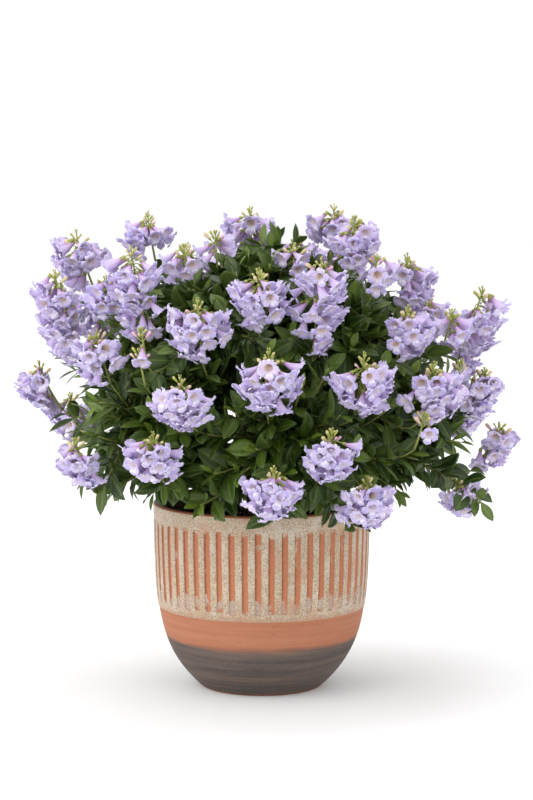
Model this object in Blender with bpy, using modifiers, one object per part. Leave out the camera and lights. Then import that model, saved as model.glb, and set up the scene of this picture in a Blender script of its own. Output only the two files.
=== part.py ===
"""Potted freylinia: a fluted stoneware pot, its soil, and a bushy plant with trusses of flowers."""
import math

import bpy
import numpy as np
from mathutils import Vector

OBJECT_NAME = "potted_freylinia"
GAP = 0.0003  # between two pieces that touch

# Pot
POT_HEIGHT = 0.154
RIM_RADIUS = 0.0900
FOOT_RADIUS = 0.0505
WALL = 0.0055
FLOOR = 0.0090
LIP_ROUND = 0.0020
LIP_DEPTH = 2.5 * LIP_ROUND  # the bowl's own curve starts this far below the rim
LIP_POINTS = 3
INNER_LIP_WIDTH = 0.0010
INNER_LIP_DROP = 0.0004
INNER_FOOT_INSET = 2.3 * WALL  # from the pot's outside to the edge of its inner floor
FOOT_ROUND = 0.0012
DRAIN_RADIUS = 0.0070
SWELL_LOW = 4.5  # how quickly the bowl opens out above the foot
SWELL_FADE = 3.0  # how much that slows towards the rim
BOWL_RINGS = 9
FOOT_CROWDING = 1.6  # 1 spaces the rings evenly, more brings them closer near the foot

# Flutes round the upper wall
FLUTE_COUNT = 52
FACETS_PER_FLUTE = 2  # a flute lies inside one facet of the wall
FIRST_FLUTE = 1.5  # facets from +X to the middle of the first flute
POT_STEPS = FLUTE_COUNT * FACETS_PER_FLUTE
FLUTE_WIDTH = 0.0042
FLUTE_DEPTH = 0.0009
FLUTE_TOP_BELOW_RIM = 0.0130
FLUTE_FOOT_HEIGHT = 0.0740
FLUTE_TOOL_SIDES = 12

# Soil and the woody crown that stands in it
HEADSPACE = 0.0160  # from the rim down to the soil
SOIL_STEPS = 36
SOIL_EDGE_ROUND = 0.0022
SOIL_FOOT_EASE = 0.0020  # between the soil and the edge of the pot's inner floor
CROWN_RADIUS = 0.0120
CROWN_NECK_RADIUS = 0.0090
CROWN_NECK_DEPTH = 0.0180  # below the soil's surface
CROWN_NECK_TOP = -0.0030  # where the neck becomes straight, from the soil's surface
CROWN_NECK_TAPER = 0.8
CROWN_COLLAR = 0.0010  # where the ball ends, above the soil's surface
CROWN_CENTRE_RISE = 0.0100  # above the soil's surface
CROWN_STEPS = 20
CROWN_POINTS = 7

# Stems
STEM_RADIUS = 0.0024
STEM_TIP_SHARE = 0.7
STEM_BOW = 0.0030
STEM_POINTS = 8

# Leafy shoots: a low ring that clears the rim, a high ring above its gaps, and one on top
LOW_SHOOTS = 5
LOW_RADIUS = 0.0470
LOW_HALF = 0.0100
LOW_REACH = 0.108
LOW_BEARING = 14
HIGH_SHOOTS = 4
HIGH_RADIUS = 0.0400
HIGH_HALF = 0.0120
HIGH_REACH = 0.134
HIGH_RISE = 56
HIGH_BEARING = 48
TOP_RADIUS = 0.0320
TOP_HALF = 0.0100
TOP_REACH = 0.172
RIM_CLEARANCE = 0.0030
SHOOT_STEPS = 14
SHOOT_RINGS = 7
SHOOT_WAIST = 0.15  # how much slimmer a shoot is at its base than at its tip

# Flower trusses: radius, half length
CANOPY_REACH = 0.248  # from the crown to the middle of a truss whose share is 1
TRUSS_SIZES = {
    "medium": (0.0230, 0.0045),
    "small": (0.0180, 0.0040),
    "column": (0.0215, 0.0170),
    "round": (0.0265, 0.0015),
    "low": (0.0230, 0.0010),
    "tiny": (0.0150, 0.0010),
}
TRUSS_UPRIGHT = 0.55  # 0 leans straight out from the crown, 1 stands upright
STALK_RADIUS = 0.0013
STALK_SIDES = 6
STALK_STEP = 0.0010
TRUSS_STEPS = 11
TRUSS_RINGS = 6
TRUSS_WAIST = 0.25
SETTLE_ROUNDS = 200
PARALLEL = 1e-12

# Each truss: degrees round from the front towards +X, degrees up, share of CANOPY_REACH, size
TRUSSES = [
    (-86, 68, 0.98, "low"),
    (-90, 54, 1.02, "medium"),
    (-80, 46, 0.92, "column"),
    (-49, 56, 0.89, "column"),
    (-19, 50, 0.85, "round"),
    (-2, 56, 0.88, "medium"),
    (88, 77, 0.94, "low"),
    (50, 66, 0.91, "medium"),
    (20, 55, 0.87, "column"),
    (77, 58, 0.90, "round"),
    (29, 37, 0.80, "round"),
    (2, 38, 0.81, "round"),
    (49, 44, 0.86, "low"),
    (49, 35, 0.83, "round"),
    (82, 41, 0.91, "column"),
    (74, 30, 0.84, "small"),
    (-50, 40, 0.86, "low"),
    (-98, 29, 0.84, "low"),
    (-20, 32, 0.82, "low"),
    (-27, 20, 0.76, "low"),
    (-51, 17, 0.76, "small"),
    (3, 13, 0.73, "low"),
    (17, 21, 0.77, "low"),
    (27, 10, 0.71, "low"),
    (80, 17, 0.80, "small"),
    (60, 8, 0.74, "tiny"),
    (-120, 20, 0.80, "low"),
    (-122, 45, 0.90, "round"),
    (-150, 30, 0.84, "round"),
    (-150, 57, 0.92, "medium"),
    (180, 14, 0.74, "low"),
    (176, 42, 0.88, "round"),
    (150, 27, 0.82, "low"),
    (146, 57, 0.90, "column"),
    (116, 21, 0.80, "low"),
    (118, 45, 0.88, "round"),
    (-170, 76, 0.93, "medium"),
]

COLOURS = {
    "glazed_pot": ((0.52, 0.36, 0.24), 0.55),
    "soil": ((0.06, 0.04, 0.025), 0.95),
    "wood": ((0.16, 0.11, 0.06), 0.8),
    "green_stem": ((0.14, 0.19, 0.06), 0.6),
    "leaf": ((0.03, 0.10, 0.02), 0.45),
    "petal": ((0.52, 0.42, 0.78), 0.6),
}

SOIL_TOP = POT_HEIGHT - HEADSPACE
CROWN = Vector((0, 0, SOIL_TOP + CROWN_CENTRE_RISE))


def clearScene():
    for ob in list(bpy.data.objects):
        bpy.data.objects.remove(ob)


def collection(name):
    made = bpy.data.collections.new(name)
    bpy.context.scene.collection.children.link(made)
    return made


def material(name):
    colour, roughness = COLOURS[name]
    made = bpy.data.materials.new(name)
    made.use_nodes = True
    shader = made.node_tree.nodes["Principled BSDF"]
    shader.inputs["Base Color"].default_value = (*colour, 1)
    shader.inputs["Roughness"].default_value = roughness
    shader.inputs["Metallic"].default_value = 0
    made.diffuse_color = (*colour, 1)
    return made


def keepAside(tool, coll):
    """Moves a tool of a Boolean into its own collection, out of the model."""
    for owner in list(tool.users_collection):
        owner.objects.unlink(tool)
    coll.objects.link(tool)
    tool.hide_render = True
    tool.display_type = "WIRE"


def turned(name, profile, steps, coll, mat, closed=False):
    """A turned body. The profile is (radius, height) pairs that run down its outer side."""
    mesh = bpy.data.meshes.new(name)
    points = [(r, 0, z) for r, z in profile]
    edges = [(i, i + 1) for i in range(len(points) - 1)]
    if closed:
        edges.append((len(points) - 1, 0))
    mesh.from_pydata(points, edges, [])
    ob = bpy.data.objects.new(name, mesh)
    coll.objects.link(ob)
    screw = ob.modifiers.new("turn", "SCREW")
    screw.steps = steps
    screw.render_steps = steps
    screw.use_merge_vertices = True
    screw.merge_threshold = 0.00005
    screw.use_smooth_shade = True
    mesh.materials.append(mat)
    return ob


def wallRadius(height):
    """The pot's outer radius at a height: a bowl that opens from the foot and stands up to the rim."""
    share = height / POT_HEIGHT
    power = SWELL_LOW - SWELL_FADE * share * share
    return FOOT_RADIUS + (RIM_RADIUS - FOOT_RADIUS) * (1 - (1 - share) ** power)


def arc(centreRadius, centreHeight, radius, start, end, count):
    """Points along part of a circle in the profile's plane, from one angle to another in degrees."""
    angles = np.radians(np.linspace(start, end, count))
    return [
        (centreRadius + radius * math.cos(a), centreHeight + radius * math.sin(a))
        for a in angles
    ]


def potHeights(low, high, count):
    """Heights between two others, closer together near the foot, where the bowl curves most."""
    return [low + (high - low) * s**FOOT_CROWDING for s in np.linspace(1, 0, count)]


def makePot(coll, cutters, mat):
    outer = arc(RIM_RADIUS - LIP_ROUND, POT_HEIGHT - LIP_ROUND, LIP_ROUND, 90, 0, LIP_POINTS)
    outer += [
        (wallRadius(h), h)
        for h in potHeights(FOOT_ROUND, POT_HEIGHT - LIP_DEPTH, BOWL_RINGS)
    ]
    outer += [(wallRadius(0) - FOOT_ROUND, 0), (DRAIN_RADIUS, 0), (DRAIN_RADIUS, FLOOR)]
    inner = [(wallRadius(FLOOR + WALL) - INNER_FOOT_INSET, FLOOR)]
    inner += [
        (wallRadius(h) - WALL, h)
        for h in reversed(potHeights(FLOOR + WALL, POT_HEIGHT - LIP_ROUND, BOWL_RINGS - 2))
    ]
    inner.append((RIM_RADIUS - WALL + INNER_LIP_WIDTH, POT_HEIGHT - INNER_LIP_DROP))
    pot = turned("pot", outer + inner, POT_STEPS, coll, mat, closed=True)

    top = POT_HEIGHT - FLUTE_TOP_BELOW_RIM
    length = top - FLUTE_FOOT_HEIGHT
    middle = (top + FLUTE_FOOT_HEIGHT) / 2
    lean = math.atan2(wallRadius(top) - wallRadius(FLUTE_FOOT_HEIGHT), length)
    toolRadius = FLUTE_WIDTH**2 / (8 * FLUTE_DEPTH) + FLUTE_DEPTH / 2
    middleRadius = (wallRadius(top) + wallRadius(FLUTE_FOOT_HEIGHT)) / 2
    for i in range(FLUTE_COUNT):
        turn = 2 * math.pi * (i + FIRST_FLUTE / FACETS_PER_FLUTE) / FLUTE_COUNT
        away = middleRadius - FLUTE_DEPTH + toolRadius
        bpy.ops.mesh.primitive_cylinder_add(
            vertices=FLUTE_TOOL_SIDES,
            radius=toolRadius,
            depth=length,
            location=(away * math.cos(turn), away * math.sin(turn), middle),
            rotation=(0, lean, turn),
        )
        cutter = bpy.context.object
        cutter.name = f"flute_cutter_{i + 1:02d}"
        keepAside(cutter, cutters)
    cut = pot.modifiers.new("flutes", "BOOLEAN")
    cut.operation = "DIFFERENCE"
    cut.operand_type = "COLLECTION"
    cut.collection = cutters
    cut.solver = "EXACT"


def collarRadius():
    """The crown's radius where its ball ends, just above the soil."""
    drop = CROWN_CENTRE_RISE - CROWN_COLLAR
    return math.sqrt(CROWN_RADIUS**2 - drop**2)


def makeSoil(coll, mat):
    """The soil fills the pot to the headspace, with a socket as wide as the crown that goes into it."""
    socket = max(CROWN_NECK_RADIUS, collarRadius()) + GAP
    socketFloor = SOIL_TOP - CROWN_NECK_DEPTH - GAP
    edge = wallRadius(SOIL_TOP) - WALL - GAP
    profile = [(0, socketFloor), (socket, socketFloor), (socket, SOIL_TOP)]
    profile.append((edge - SOIL_EDGE_ROUND, SOIL_TOP))
    heights = potHeights(FLOOR + WALL, SOIL_TOP - SOIL_EDGE_ROUND, BOWL_RINGS - 3)
    # The middle of each facet of the pot's wall lies inside its true circle, so the soil clears that.
    facetDip = RIM_RADIUS * (1 - math.cos(math.pi / SOIL_STEPS)) / 2
    profile += [(wallRadius(h) - WALL - GAP - facetDip, h) for h in heights]
    bottom = wallRadius(FLOOR + WALL) - INNER_FOOT_INSET - SOIL_FOOT_EASE
    profile += [(bottom, FLOOR + GAP), (0, FLOOR + GAP)]
    turned("potting_soil", profile, SOIL_STEPS, coll, mat)


def makeCrown(coll, mat):
    """The woody base that the stems grow from, sunk by its neck into the soil."""
    collar = SOIL_TOP + CROWN_COLLAR
    start = math.degrees(math.asin((collar - CROWN.z) / CROWN_RADIUS))
    profile = arc(0, CROWN.z, CROWN_RADIUS, 90, start, CROWN_POINTS)
    profile[0] = (0, CROWN.z + CROWN_RADIUS)
    profile += [
        (CROWN_NECK_RADIUS, SOIL_TOP + CROWN_NECK_TOP),
        (CROWN_NECK_RADIUS * CROWN_NECK_TAPER, SOIL_TOP - CROWN_NECK_DEPTH),
        (0, SOIL_TOP - CROWN_NECK_DEPTH),
    ]
    turned("root_crown", profile, CROWN_STEPS, coll, mat)


def pointing(bearing, rise):
    """The direction at a bearing, from the front towards +X, and a rise, both in degrees."""
    b, r = math.radians(bearing), math.radians(rise)
    return Vector((math.sin(b) * math.cos(r), -math.cos(b) * math.cos(r), math.sin(r)))


class Lump:
    """A soft mass of leaves or flowers: a capsule that its turned body stays inside."""

    def __init__(self, rank, centre, axis, radius, half):
        self.rank = rank  # where two lumps meet, the one of higher rank gives way
        self.centre = centre
        self.axis = axis.normalized()
        self.radius = radius
        self.half = half

    def ends(self):
        return self.centre - self.axis * self.half, self.centre + self.axis * self.half

    def onAxis(self, point):
        """The point of the capsule's axis that is nearest to a point."""
        along = (point - self.centre).dot(self.axis)
        return self.centre + self.axis * max(-self.half, min(self.half, along))

    def clearance(self, point):
        """How far a point is outside the capsule."""
        return (point - self.onAxis(point)).length - self.radius


def shootPlan():
    """The leafy shoots, each a capsule that points out from the crown."""
    lift = POT_HEIGHT + RIM_CLEARANCE + LOW_RADIUS + LOW_HALF / 2 - CROWN.z
    lowRise = math.degrees(math.asin(lift / LOW_REACH))
    rings = (
        (LOW_SHOOTS, LOW_REACH, lowRise, LOW_BEARING, LOW_RADIUS, LOW_HALF),
        (HIGH_SHOOTS, HIGH_REACH, HIGH_RISE, HIGH_BEARING, HIGH_RADIUS, HIGH_HALF),
        (1, TOP_REACH, 90, 0, TOP_RADIUS, TOP_HALF),
    )
    plan = []
    for rank, (count, reach, rise, start, radius, half) in enumerate(rings):
        for i in range(count):
            out = pointing(start + 360 * i / count, rise)
            plan.append(Lump(rank, CROWN + out * reach, out, radius, half))
    return plan


def trussPlan(rank):
    plan = []
    for bearing, rise, share, size in TRUSSES:
        out = pointing(bearing, rise)
        radius, half = TRUSS_SIZES[size]
        axis = out * (1 - TRUSS_UPRIGHT) + Vector((0, 0, 1)) * TRUSS_UPRIGHT
        plan.append(Lump(rank, CROWN + out * share * CANOPY_REACH, axis, radius, half))
    return plan


def nearest(p1, q1, p2, q2):
    """The closest points of two line segments."""
    d1, d2, r = q1 - p1, q2 - p2, p1 - p2
    a, e, f = d1.dot(d1), d2.dot(d2), d2.dot(r)
    c, b = d1.dot(r), d1.dot(d2)
    spread = a * e - b * b
    s = min(max((b * f - c * e) / spread, 0), 1) if spread > PARALLEL else 0.5
    t = min(max((b * s + f) / e, 0), 1)
    s = min(max((b * t - c) / a, 0), 1)
    return p1 + d1 * s, p2 + d2 * t


def settle(lumps):
    """Eases the lumps apart until every pair clears by the gap."""
    for _ in range(SETTLE_ROUNDS):
        moved = False
        for i, one in enumerate(lumps):
            for other in lumps[:i]:
                need = one.radius + other.radius + 2 * GAP
                if (one.centre - other.centre).length > need + one.half + other.half:
                    continue
                a, b = nearest(*one.ends(), *other.ends())
                apart = a - b
                short = need - apart.length
                if short <= 0:
                    continue
                moved = True
                push = apart.normalized() * (short + GAP / 2)
                if one.rank > other.rank:
                    one.centre += push
                else:
                    one.centre += push * 0.5
                    other.centre -= push * 0.5
        if not moved:
            return


def lumpProfile(radius, half, rings, waist):
    """A rounded body inside a capsule, fuller near the tip, from its tip down to its base."""
    tall = half + radius
    profile = [(0, tall)]
    for i in range(1, rings):
        angle = math.pi * i / rings
        z = math.cos(angle)
        full = math.sin(angle) * (1 - waist * (1 - z) / 2)
        profile.append((radius * full, half * max(-1, min(1, 2 * z)) + radius * z))
    profile.append((0, -tall))
    return profile


def makeLump(name, lump, rings, waist, steps, coll, mat):
    profile = lumpProfile(lump.radius, lump.half, rings, waist)
    ob = turned(name, profile, steps, coll, mat)
    ob.rotation_mode = "QUATERNION"
    ob.rotation_quaternion = lump.axis.to_track_quat("Z", "Y")
    ob.location = lump.centre
    return ob


def addStalk(ob, truss, shoots, others, cutters):
    """Joins on a stalk that runs towards the nearest leafy shoot, as far as the first thing it meets."""
    home = min(shoots, key=lambda shoot: shoot.clearance(truss.centre))
    towards = home.onAxis(truss.centre) - truss.centre
    inwards = towards.normalized()
    blocks = [lump for lump in others if lump is not truss]
    reach = 0
    while reach < towards.length:
        point = truss.centre + inwards * (reach + STALK_STEP)
        if min(lump.clearance(point) for lump in blocks) < STALK_RADIUS + GAP:
            break
        reach += STALK_STEP
    if reach <= truss.radius:
        return
    bpy.ops.mesh.primitive_cylinder_add(
        vertices=STALK_SIDES,
        radius=STALK_RADIUS,
        depth=reach,
        location=truss.centre + inwards * reach / 2,
    )
    stalk = bpy.context.object
    stalk.name = ob.name + "_stalk"
    stalk.rotation_mode = "QUATERNION"
    stalk.rotation_quaternion = inwards.to_track_quat("Z", "Y")
    keepAside(stalk, cutters)
    join = ob.modifiers.new("stalk", "BOOLEAN")
    join.operation = "UNION"
    join.object = stalk
    join.solver = "EXACT"


def stemEnds(shoot):
    """Where the stem leaves the crown, and where it meets its leafy shoot."""
    low, _ = shoot.ends()
    out = (low - CROWN).normalized()
    return CROWN + out * (CROWN_RADIUS + GAP), low - out * (shoot.radius + GAP)


def stemRoom(shoot):
    """The room that a stem takes up, as a lump."""
    start, end = stemEnds(shoot)
    return Lump(0, (start + end) / 2, end - start, STEM_RADIUS + STEM_BOW, (end - start).length / 2)


def makeStem(name, shoot, side, coll, mat):
    """A tapered stem from the crown to the underside of its leafy shoot."""
    start, end = stemEnds(shoot)
    out = (end - start).normalized()
    across = out.cross(Vector((0, 0, 1))).normalized()
    curve = bpy.data.curves.new(name, "CURVE")
    curve.dimensions = "3D"
    curve.bevel_depth = STEM_RADIUS
    curve.bevel_resolution = 2
    curve.use_fill_caps = True
    spline = curve.splines.new("POLY")
    spline.points.add(STEM_POINTS - 1)
    for i, point in enumerate(spline.points):
        share = i / (STEM_POINTS - 1)
        bow = math.sin(math.pi * share) ** 2 * STEM_BOW
        point.co = (*(start.lerp(end, share) + across * bow * side), 1)
        point.radius = 1 - (1 - STEM_TIP_SHARE) * share
    curve.materials.append(mat)
    coll.objects.link(bpy.data.objects.new(name, curve))


def build():
    clearScene()
    parts = collection(OBJECT_NAME)
    fluteTools = collection("flute_cutters")
    stalks = collection("stalks_to_join")
    mats = {name: material(name) for name in COLOURS}
    makePot(parts, fluteTools, mats["glazed_pot"])
    makeSoil(parts, mats["soil"])
    makeCrown(parts, mats["wood"])
    shoots = shootPlan()
    trusses = trussPlan(max(shoot.rank for shoot in shoots) + 1)
    settle(shoots + trusses)
    stems = [stemRoom(shoot) for shoot in shoots]
    for i, shoot in enumerate(shoots, 1):
        makeStem(f"stem_{i:02d}", shoot, (-1) ** i, parts, mats["green_stem"])
        name = f"leafy_shoot_{i:02d}"
        makeLump(name, shoot, SHOOT_RINGS, SHOOT_WAIST, SHOOT_STEPS, parts, mats["leaf"])
    for i, truss in enumerate(trusses, 1):
        name = f"flower_truss_{i:02d}"
        ob = makeLump(name, truss, TRUSS_RINGS, TRUSS_WAIST, TRUSS_STEPS, parts, mats["petal"])
        addStalk(ob, truss, shoots, shoots + trusses + stems, stalks)


build()
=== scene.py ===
import math

import bpy
import numpy as np
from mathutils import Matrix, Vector, noise


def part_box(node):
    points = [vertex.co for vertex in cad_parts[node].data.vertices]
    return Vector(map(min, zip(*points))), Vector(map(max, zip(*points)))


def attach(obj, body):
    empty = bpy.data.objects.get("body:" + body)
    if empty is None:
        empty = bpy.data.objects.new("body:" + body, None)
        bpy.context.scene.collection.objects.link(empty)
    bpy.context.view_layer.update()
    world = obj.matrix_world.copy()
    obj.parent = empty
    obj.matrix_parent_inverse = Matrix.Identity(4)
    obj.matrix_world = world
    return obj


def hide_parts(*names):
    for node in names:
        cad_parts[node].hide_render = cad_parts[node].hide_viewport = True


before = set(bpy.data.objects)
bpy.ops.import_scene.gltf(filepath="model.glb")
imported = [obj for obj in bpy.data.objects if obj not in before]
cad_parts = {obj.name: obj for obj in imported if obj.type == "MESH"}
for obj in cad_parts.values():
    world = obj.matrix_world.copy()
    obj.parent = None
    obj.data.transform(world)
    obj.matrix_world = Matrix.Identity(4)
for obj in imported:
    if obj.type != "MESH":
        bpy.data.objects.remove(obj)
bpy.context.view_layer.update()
print("frame loaded", len(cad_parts), "nodes")


# Camera, lights and floor

view = {
    "place": (0.0040, -2.03, 0.4537),
    "tiltDown": 6.08,
    "lens": 111.3,
}
studio = {
    "floorColour": (0.95, 0.95, 0.95),
    "sky": 1.08,
    "keyPlace": (-1.9, -1.1, 1.5),
    "keySize": 2.4,
    "keyPower": 29,
    "fillPlace": (1.7, -1.3, 1.1),
    "fillSize": 1.8,
    "fillPower": 4,
    "topPlace": (0.1, 0.5, 2.2),
    "topSize": 1.6,
    "topPower": 9,
    "floorReach": 12.0,
    "backdropTurn": 9.0,  # far enough that a camera behind the plant still stands in front of it
    "backdropTop": 6.0,
}


def makeCamera():
    lens = bpy.data.cameras.new("camera")
    lens.lens = view["lens"]
    lens.sensor_width = 36
    lens.clip_start = 0.05
    lens.clip_end = 50
    camera = bpy.data.objects.new("camera", lens)
    camera.location = view["place"]
    camera.rotation_euler = (math.radians(90 - view["tiltDown"]), 0, 0)
    bpy.context.scene.collection.objects.link(camera)
    bpy.context.scene.camera = camera


def areaLight(name, place, size, power):
    lamp = bpy.data.lights.new(name, "AREA")
    lamp.shape = "DISK"
    lamp.size = size
    lamp.energy = power
    light = bpy.data.objects.new(name, lamp)
    light.location = place
    towards = Vector((0, 0, 0.2)) - Vector(place)
    light.rotation_euler = towards.to_track_quat("-Z", "Y").to_euler()
    bpy.context.scene.collection.objects.link(light)


def makeStudio():
    world = bpy.data.worlds.new("studio")
    bpy.context.scene.world = world
    world.use_nodes = True
    sky = world.node_tree.nodes["Background"]
    sky.inputs["Color"].default_value = (1, 1, 1, 1)
    sky.inputs["Strength"].default_value = studio["sky"]
    areaLight("key", studio["keyPlace"], studio["keySize"], studio["keyPower"])
    areaLight("fill", studio["fillPlace"], studio["fillSize"], studio["fillPower"])
    areaLight("top", studio["topPlace"], studio["topSize"], studio["topPower"])
    reach, turn, steps = studio["floorReach"], studio["backdropTurn"], 24
    outline = [(-reach, 0.0)]
    for i in range(steps + 1):
        angle = math.pi / 2 * i / steps
        outline.append((turn + 1.0 * math.sin(angle), 1.0 - 1.0 * math.cos(angle)))
    outline.append((turn + 1.0, studio["backdropTop"]))
    verts = [(x, y, z) for y, z in outline for x in (-reach, reach)]
    faces = [(2 * i, 2 * i + 1, 2 * i + 3, 2 * i + 2) for i in range(len(outline) - 1)]
    mesh = bpy.data.meshes.new("floor")
    mesh.from_pydata(verts, [], faces)
    mesh.polygons.foreach_set("use_smooth", [True] * len(faces))
    floor = bpy.data.objects.new("floor", mesh)
    bpy.context.scene.collection.objects.link(floor)
    paint = bpy.data.materials.new("floor_paint")
    paint.use_nodes = True
    shader = paint.node_tree.nodes["Principled BSDF"]
    shader.inputs["Base Color"].default_value = (*studio["floorColour"], 1)
    shader.inputs["Roughness"].default_value = 0.9
    shader.inputs["Specular IOR Level"].default_value = 0.2
    mesh.materials.append(paint)
    bpy.context.scene.view_settings.view_transform = "Standard"


makeCamera()
makeStudio()
print("camera and studio ready")


# Shader helpers


def srgb(red, green, blue):
    def linear(value):
        value = value / 255
        return value / 12.92 if value <= 0.04045 else ((value + 0.055) / 1.055) ** 2.4

    return (linear(red), linear(green), linear(blue), 1)


class Wire:
    # a socket of a material; arithmetic on it adds Math nodes
    def __init__(self, finish, socket):
        self.finish = finish
        self.socket = socket

    def math(self, how, *others):
        values = dict(enumerate((self, *others)))
        return self.finish.add("Math", {"operation": how}, values)

    def __add__(self, other):
        return self.math("ADD", other)

    __radd__ = __add__

    def __mul__(self, other):
        return self.math("MULTIPLY", other)

    __rmul__ = __mul__

    def __sub__(self, other):
        return self.math("SUBTRACT", other)

    def __rsub__(self, other):
        return self.finish.add("Math", {"operation": "SUBTRACT"}, {0: other, 1: self})

    def __pow__(self, other):
        return self.math("POWER", other)

    def between(self, low, high):
        # 0 up to low, 1 from high, eased
        settings = {"interpolation_type": "SMOOTHSTEP"}
        names = {"Value": self, "From Min": low, "From Max": high}
        return self.finish.add("MapRange", settings, names)


class Finish:
    # one material, its Principled shader, and the nodes that feed it
    def __init__(self, name, roughness=0.5, **fixed):
        self.material = bpy.data.materials.new(name)
        self.material.use_nodes = True
        self.tree = self.material.node_tree
        self.shader = self.tree.nodes["Principled BSDF"]
        self.shader.inputs["Roughness"].default_value = roughness
        for socket, value in fixed.items():
            self.shader.inputs[socket.replace("_", " ")].default_value = value

    def plug(self, socket, value):
        if isinstance(value, Wire):
            self.tree.links.new(value.socket, socket)
        else:
            socket.default_value = value

    def add(self, kind, settings=None, inputs=None, out=0):
        node = self.tree.nodes.new("ShaderNode" + kind)
        for name, value in (settings or {}).items():
            setattr(node, name, value)
        for name, value in (inputs or {}).items():
            self.plug(node.inputs[name], value)
        return Wire(self, node.outputs[out])

    def attribute(self, name):
        return self.add("Attribute", {"attribute_name": name}, out="Fac")

    def place(self, stretch=(1, 1, 1)):
        spot = self.add("TexCoord", out="Object")
        return self.add("VectorMath", {"operation": "MULTIPLY"}, {0: spot, 1: stretch})

    def axes(self):
        spot = self.add("TexCoord", out="Object")
        node = self.tree.nodes.new("ShaderNodeSeparateXYZ")
        self.plug(node.inputs[0], spot)
        return [Wire(self, socket) for socket in node.outputs]

    def cloud(self, scale, detail=3.0, roughness=0.5, stretch=(1, 1, 1)):
        inputs = {"Vector": self.place(stretch), "Scale": scale, "Detail": detail, "Roughness": roughness}
        return self.add("TexNoise", None, inputs, out=0)

    def specks(self, scale, size):
        # 1 inside scattered round spots
        inputs = {"Vector": self.place(), "Scale": scale, "Randomness": 1.0}
        near = self.add("TexVoronoi", {"feature": "F1"}, inputs, out="Distance")
        return 1 - near.between(size * 0.6, size)

    def mix(self, share, first, second):
        # sockets 6 and 7 take the two colours, and output 2 gives the colour
        settings = {"data_type": "RGBA", "clamp_factor": True}
        return self.add("Mix", settings, {0: share, 6: first, 7: second}, out=2)

    def bump(self, height, strength, distance):
        inputs = {"Height": height, "Strength": strength, "Distance": distance}
        return self.add("Bump", None, inputs)

    def wear(self, **feeds):
        for socket, value in feeds.items():
            self.plug(self.shader.inputs[socket.replace("_", " ")], value)
        return self.material


# Mesh helpers: a part is verts, quads, a map of each quad's corners, and numbers on the verts


def newPart(verts, quads, corners, numbers=None, cells=None):
    return {
        "verts": np.asarray(verts, float),
        "quads": np.asarray(quads, int),
        "corners": np.asarray(corners, float),
        "numbers": {k: np.asarray(v, float) for k, v in (numbers or {}).items()},
        "cells": np.zeros(len(quads), int) if cells is None else cells,
    }


def gridQuads(index, spot=(0, 0, 1, 1)):
    # quads over a table of vertex numbers, mapped to a rectangle
    rows, cols = index.shape
    quads = np.stack([index[:-1, :-1], index[:-1, 1:], index[1:, 1:], index[1:, :-1]], -1)
    u = np.linspace(spot[0], spot[2], cols)
    v = np.linspace(spot[1], spot[3], rows)
    uu, vv = np.meshgrid(u, v)
    uv = np.stack([uu, vv], -1)
    corners = np.stack([uv[:-1, :-1], uv[:-1, 1:], uv[1:, 1:], uv[1:, :-1]], 2)
    return quads.reshape(-1, 4), corners.reshape(-1, 4, 2)


def wrapped(index):
    # the table of vertex numbers with its first column again at the end
    return np.concatenate([index, index[:, :1]], 1)


def vertexNormals(verts, quads):
    a, b, c, d = (verts[quads[:, i]] for i in range(4))
    face = np.cross(c - a, d - b)
    total = np.zeros_like(verts)
    for i in range(4):
        np.add.at(total, quads[:, i], face)
    return total / np.maximum(np.linalg.norm(total, axis=1, keepdims=True), 1e-12)


def thicken(part, depth, split=0.5):
    # closes a sheet: an inner copy, and a rim along the open edges; the map is split between the faces
    verts, quads = part["verts"], part["quads"]
    count = len(verts)
    inner = verts - vertexNormals(verts, quads) * depth
    edges = np.concatenate([quads[:, [i, (i + 1) % 4]] for i in range(4)])
    owner = np.tile(np.arange(len(quads)), 4)
    slotOf = np.repeat(np.arange(4), len(quads))
    key = np.sort(edges, 1) @ np.array([count, 1])
    _, back, times = np.unique(key, return_inverse=True, return_counts=True)
    open_ = times[back] == 1
    a, b = edges[open_].T
    rim = np.stack([b, a, a + count, b + count], 1)
    outerMap = part["corners"] * (1, split)
    innerMap = part["corners"][:, ::-1] * (1, 1 - split) + (0, split)
    atA = outerMap[owner[open_], slotOf[open_]]
    atB = outerMap[owner[open_], (slotOf[open_] + 1) % 4]
    rimMap = np.stack([atB, atA, atA, atB], 1)
    numbers = {k: np.concatenate([v, v]) for k, v in part["numbers"].items()}
    numbers["inside"] = np.concatenate([np.zeros(count), np.ones(count)])
    return newPart(
        np.concatenate([verts, inner]),
        np.concatenate([quads, quads[:, ::-1] + count, rim]),
        np.concatenate([outerMap, innerMap, rimMap]),
        numbers,
    )


def copies(part, matrices, **perCopy):
    # one part with a copy of this one at each matrix; each copy has its own cell of the map
    many, count = len(matrices), len(part["verts"])
    whole = np.concatenate([part["verts"], np.ones((count, 1))], 1)
    verts = np.einsum("nij,vj->nvi", matrices, whole)[:, :, :3].reshape(-1, 3)
    quads = (part["quads"][None] + (np.arange(many) * count)[:, None, None]).reshape(-1, 4)
    numbers = {k: np.tile(v, many) for k, v in part["numbers"].items()}
    for name, values in perCopy.items():
        numbers[name] = np.repeat(np.asarray(values, float), count)
    corners = np.tile(part["corners"], (many, 1, 1))
    cells = np.repeat(np.arange(many), len(part["quads"]))
    return newPart(verts, quads, corners, numbers, cells)


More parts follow.
